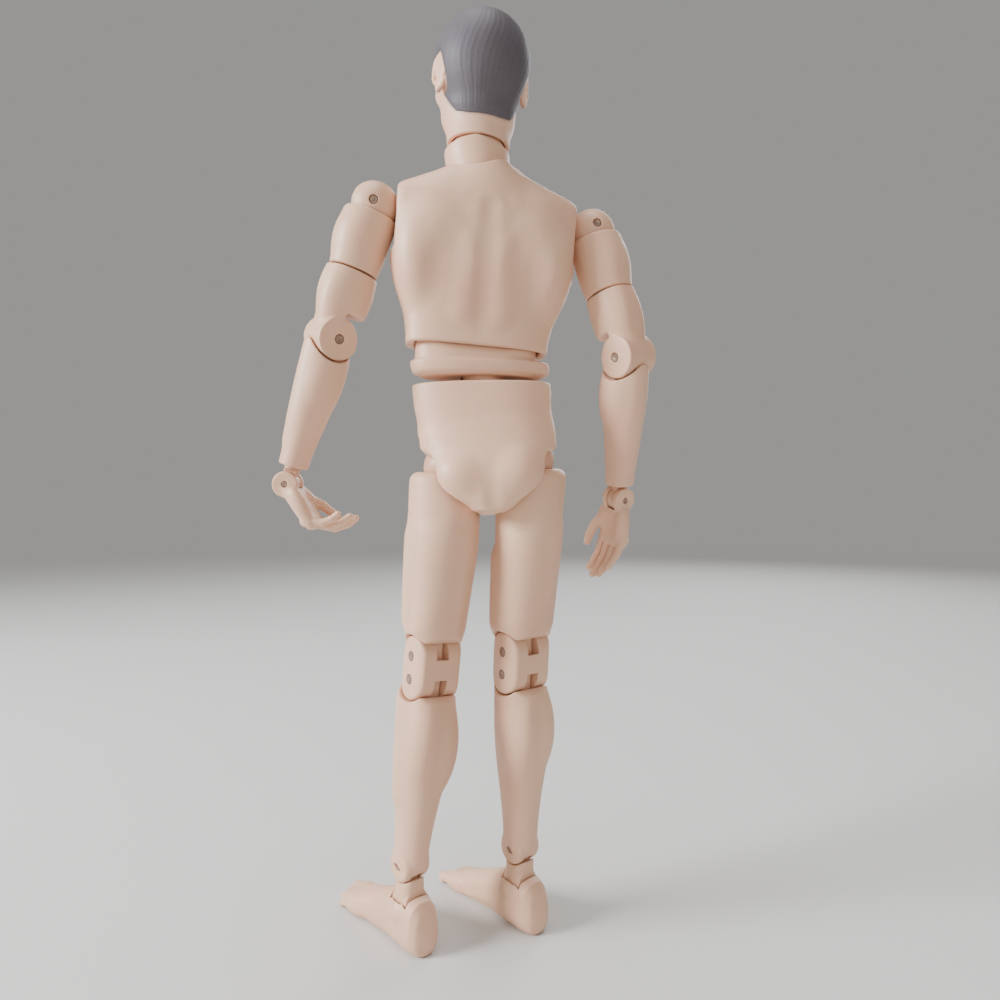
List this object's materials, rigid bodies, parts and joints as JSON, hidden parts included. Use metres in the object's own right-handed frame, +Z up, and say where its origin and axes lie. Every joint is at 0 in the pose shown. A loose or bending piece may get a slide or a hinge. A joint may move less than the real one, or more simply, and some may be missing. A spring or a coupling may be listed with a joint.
{
  "type": "posable action figure",
  "caption": "Jointed plastic figure of a man, standing, with ball hub shoulders and hips, arm swivels, double-pinned knees, jointed neck, waist, wrists and ankles.",
  "frame": {"origin": "centre of the bounding box in plan, at the level of the soles", "axes": "+Z up the standing figure, the figure faces -Y, its left side is towards +X"},
  "size_m": [0.1216, 0.0558, 0.2924],
  "materials": {
    "skin_plastic": "satin moulded skin-toned plastic",
    "head_vinyl": "soft skin-toned vinyl with matt painted dark hair",
    "joint_plastic": "satin moulded plastic, a shade darker than the skin",
    "pin_steel": "drawn steel"
  },
  "bodies": {
    "head": {"head": "head_vinyl"},
    "neck_peg": {"neck_peg": "joint_plastic"},
    "neck": {"neck": "skin_plastic"},
    "chest": {"chest_front": "skin_plastic", "chest_back": "skin_plastic", "spine_link": "pin_steel"},
    "left_hand": {"left_hand": "skin_plastic", "left_wrist_pin": "pin_steel"},
    "left_wrist_peg": {"left_wrist_peg": "joint_plastic"},
    "left_forearm": {"left_forearm": "skin_plastic"},
    "left_bicep": {"left_bicep": "skin_plastic", "left_elbow_pin": "pin_steel"},
    "left_upper_arm": {"left_upper_arm": "skin_plastic"},
    "left_shoulder_hub": {"left_shoulder_hub": "skin_plastic", "left_shoulder_pin": "pin_steel"},
    "right_hand": {"right_hand": "skin_plastic", "right_wrist_pin": "pin_steel"},
    "right_wrist_peg": {"right_wrist_peg": "joint_plastic"},
    "right_forearm": {"right_forearm": "skin_plastic"},
    "right_bicep": {"right_bicep": "skin_plastic", "right_elbow_pin": "pin_steel"},
    "right_upper_arm": {"right_upper_arm": "skin_plastic"},
    "right_shoulder_hub": {"right_shoulder_hub": "skin_plastic", "right_shoulder_pin": "pin_steel"},
    "abdomen": {"abdomen": "skin_plastic", "waist_pin": "pin_steel"},
    "waist_post": {"waist_post": "joint_plastic"},
    "left_foot": {"left_foot_pin": "pin_steel", "left_foot": "skin_plastic"},
    "left_ankle_link": {"left_ankle_link": "joint_plastic"},
    "left_shin": {"left_knee_pin_lower": "pin_steel", "left_shin": "skin_plastic", "left_ankle_pin": "pin_steel"},
    "left_knee_block": {"left_knee_block": "skin_plastic"},
    "left_thigh": {"left_thigh": "skin_plastic", "left_knee_pin_upper": "pin_steel"},
    "left_hip_post": {"left_hip_post": "joint_plastic"},
    "left_hip_hub": {"left_hip_hub": "joint_plastic", "left_hip_pin": "pin_steel"},
    "right_foot": {"right_foot_pin": "pin_steel", "right_foot": "skin_plastic"},
    "right_ankle_link": {"right_ankle_link": "joint_plastic"},
    "right_shin": {"right_knee_pin_lower": "pin_steel", "right_shin": "skin_plastic", "right_ankle_pin": "pin_steel"},
    "right_knee_block": {"right_knee_block": "skin_plastic"},
    "right_thigh": {"right_thigh": "skin_plastic", "right_knee_pin_upper": "pin_steel"},
    "right_hip_post": {"right_hip_post": "joint_plastic"},
    "right_hip_hub": {"right_hip_hub": "joint_plastic", "right_hip_pin": "pin_steel"},
    "pelvis": {"pelvis_front": "skin_plastic", "pelvis_back": "skin_plastic"}
  },
  "joints": [
    {"name": "head_turn", "type": "hinge", "parent": "neck_peg", "child": "head", "pos_m": [-0.00368, 0.01212, 0.2475], "axis": [-0.0523, 0, 0.9986], "range_deg": [-75, 60]},
    {"name": "head_tilt", "type": "hinge", "parent": "neck", "child": "neck_peg", "pos_m": [-0.00368, 0.01212, 0.2475], "axis": [0, 1, 0], "range_deg": [-10, 10]},
    {"name": "neck_nod", "type": "hinge", "parent": "chest", "child": "neck", "pos_m": [-0.00448, 0.01282, 0.2375], "axis": [0.9903, 0.1392, 0], "range_deg": [-9, 11]},
    {"name": "waist_bend", "type": "hinge", "parent": "abdomen", "child": "chest", "pos_m": [-0.00294, 0.01162, 0.18208], "axis": [0.9879, 0.1388, 0.0698], "range_deg": [-12, 18]},
    {"name": "left_wrist_bend", "type": "hinge", "parent": "left_wrist_peg", "child": "left_hand", "pos_m": [0.05662, 0.01182, 0.1441], "axis": [0.0187, 0.9981, -0.0595], "range_deg": [-80, 20]},
    {"name": "left_wrist_turn", "type": "hinge", "parent": "left_forearm", "child": "left_wrist_peg", "pos_m": [0.05662, 0.01182, 0.1441], "axis": [0.2994, -0.0624, -0.9521], "range_deg": [-60, 60]},
    {"name": "left_elbow", "type": "hinge", "parent": "left_bicep", "child": "left_forearm", "pos_m": [0.04222, 0.01482, 0.1899], "axis": [-0.6058, 0.7585, -0.2402], "range_deg": [-4, 84]},
    {"name": "left_arm_swivel", "type": "hinge", "parent": "left_upper_arm", "child": "left_bicep", "pos_m": [0.04222, 0.01482, 0.1899], "axis": [0.3225, -0.0278, -0.9461], "range_deg": [-60, 60]},
    {"name": "left_arm_raise", "type": "hinge", "parent": "left_shoulder_hub", "child": "left_upper_arm", "pos_m": [0.02834, 0.01601, 0.2306], "axis": [0.1336, -0.9882, 0.0746], "range_deg": [-1, 60]},
    {"name": "left_arm_swing", "type": "hinge", "parent": "chest", "child": "left_shoulder_hub", "pos_m": [0.02834, 0.01601, 0.2306], "axis": [-0.9879, -0.1388, -0.0698], "range_deg": [-45, 140]},
    {"name": "right_wrist_bend", "type": "hinge", "parent": "right_wrist_peg", "child": "right_hand", "pos_m": [-0.05088, -0.00268, 0.1396], "axis": [0.5091, -0.8243, 0.2478], "range_deg": [-60, 25]},
    {"name": "right_wrist_turn", "type": "hinge", "parent": "right_forearm", "child": "right_wrist_peg", "pos_m": [-0.05088, -0.00268, 0.1396], "axis": [-0.0212, 0.2758, 0.961], "range_deg": [-60, 60]},
    {"name": "right_elbow", "type": "hinge", "parent": "right_bicep", "child": "right_forearm", "pos_m": [-0.05188, 0.01032, 0.1849], "axis": [-0.7823, -0.6032, 0.1558], "range_deg": [-20, 66]},
    {"name": "right_arm_swivel", "type": "hinge", "parent": "right_upper_arm", "child": "right_bicep", "pos_m": [-0.05188, 0.01032, 0.1849], "axis": [0.265, -0.0939, 0.9597], "range_deg": [-60, 60]},
    {"name": "right_arm_raise", "type": "hinge", "parent": "right_shoulder_hub", "child": "right_upper_arm", "pos_m": [-0.04061, 0.00632, 0.22573], "axis": [-0.1473, 0.9796, 0.1365], "range_deg": [-1, 60]},
    {"name": "right_arm_swing", "type": "hinge", "parent": "chest", "child": "right_shoulder_hub", "pos_m": [-0.04061, 0.00632, 0.22573], "axis": [-0.9879, -0.1388, -0.0698], "range_deg": [-45, 140]},
    {"name": "waist_side", "type": "hinge", "parent": "waist_post", "child": "abdomen", "pos_m": [-0.00528, 0.01132, 0.1716], "axis": [-0.1392, 0.9903, 0], "range_deg": [-2, 5]},
    {"name": "waist_turn", "type": "hinge", "parent": "pelvis", "child": "waist_post", "pos_m": [-0.00528, 0.01132, 0.1716], "axis": [0, 0, 1], "range_deg": [-30, 30]},
    {"name": "left_ankle_tilt", "type": "hinge", "parent": "left_ankle_link", "child": "left_foot", "pos_m": [0.01752, 0.01472, 0.014], "axis": [-0.6691, 0.7431, 0], "range_deg": [-14, 14]},
    {"name": "left_ankle_flex", "type": "hinge", "parent": "left_shin", "child": "left_ankle_link", "pos_m": [0.01752, 0.01472, 0.0252], "axis": [0.7431, 0.6691, 0], "range_deg": [-25, 25]},
    {"name": "left_knee_lower", "type": "hinge", "parent": "left_knee_block", "child": "left_shin", "pos_m": [0.01112, 0.01343, 0.08281], "axis": [0.7836, 0.6152, 0.0864], "range_deg": [0, 52]},
    {"name": "left_knee_upper", "type": "hinge", "parent": "left_thigh", "child": "left_knee_block", "pos_m": [0.01051, 0.0132, 0.08999], "axis": [0.7836, 0.6152, 0.0864], "range_deg": [0, 52]},
    {"name": "left_thigh_twist", "type": "hinge", "parent": "left_hip_post", "child": "left_thigh", "pos_m": [0.00546, 0.01132, 0.14927], "axis": [-0.0849, -0.0317, 0.9959], "range_deg": [-20, 20]},
    {"name": "left_hip_spread", "type": "hinge", "parent": "left_hip_hub", "child": "left_hip_post", "pos_m": [0.00546, 0.01132, 0.14927], "axis": [-0.0031, -0.9995, -0.0321], "range_deg": [0, 34]},
    {"name": "left_hip_swing", "type": "hinge", "parent": "pelvis", "child": "left_hip_hub", "pos_m": [0.00546, 0.01132, 0.14927], "axis": [-0.9954, 0, 0.0958], "range_deg": [-12, 85]},
    {"name": "right_ankle_tilt", "type": "hinge", "parent": "right_ankle_link", "child": "right_foot", "pos_m": [-0.01738, 0.00332, 0.014], "axis": [-0.6691, 0.7431, 0], "range_deg": [-14, 14]},
    {"name": "right_ankle_flex", "type": "hinge", "parent": "right_shin", "child": "right_ankle_link", "pos_m": [-0.01738, 0.00332, 0.0252], "axis": [0.7431, 0.6691, 0], "range_deg": [-25, 25]},
    {"name": "right_knee_lower", "type": "hinge", "parent": "right_knee_block", "child": "right_shin", "pos_m": [-0.01755, 0.00709, 0.08361], "axis": [0.7884, 0.6151, -0.0095], "range_deg": [0, 52]},
    {"name": "right_knee_upper", "type": "hinge", "parent": "right_thigh", "child": "right_knee_block", "pos_m": [-0.01781, 0.00754, 0.09079], "axis": [0.7884, 0.6151, -0.0095], "range_deg": [0, 52]},
    {"name": "right_thigh_twist", "type": "hinge", "parent": "right_hip_post", "child": "right_thigh", "pos_m": [-0.02002, 0.01132, 0.15173], "axis": [-0.0362, 0.0618, 0.9974], "range_deg": [-20, 20]},
    {"name": "right_hip_spread", "type": "hinge", "parent": "right_hip_hub", "child": "right_hip_post", "pos_m": [-0.02002, 0.01132, 0.15173], "axis": [-0.006, 0.9981, -0.0621], "range_deg": [0, 20]},
    {"name": "right_hip_swing", "type": "hinge", "parent": "pelvis", "child": "right_hip_hub", "pos_m": [-0.02002, 0.01132, 0.15173], "axis": [-0.9954, 0, 0.0958], "range_deg": [-12, 85]}
  ]
}
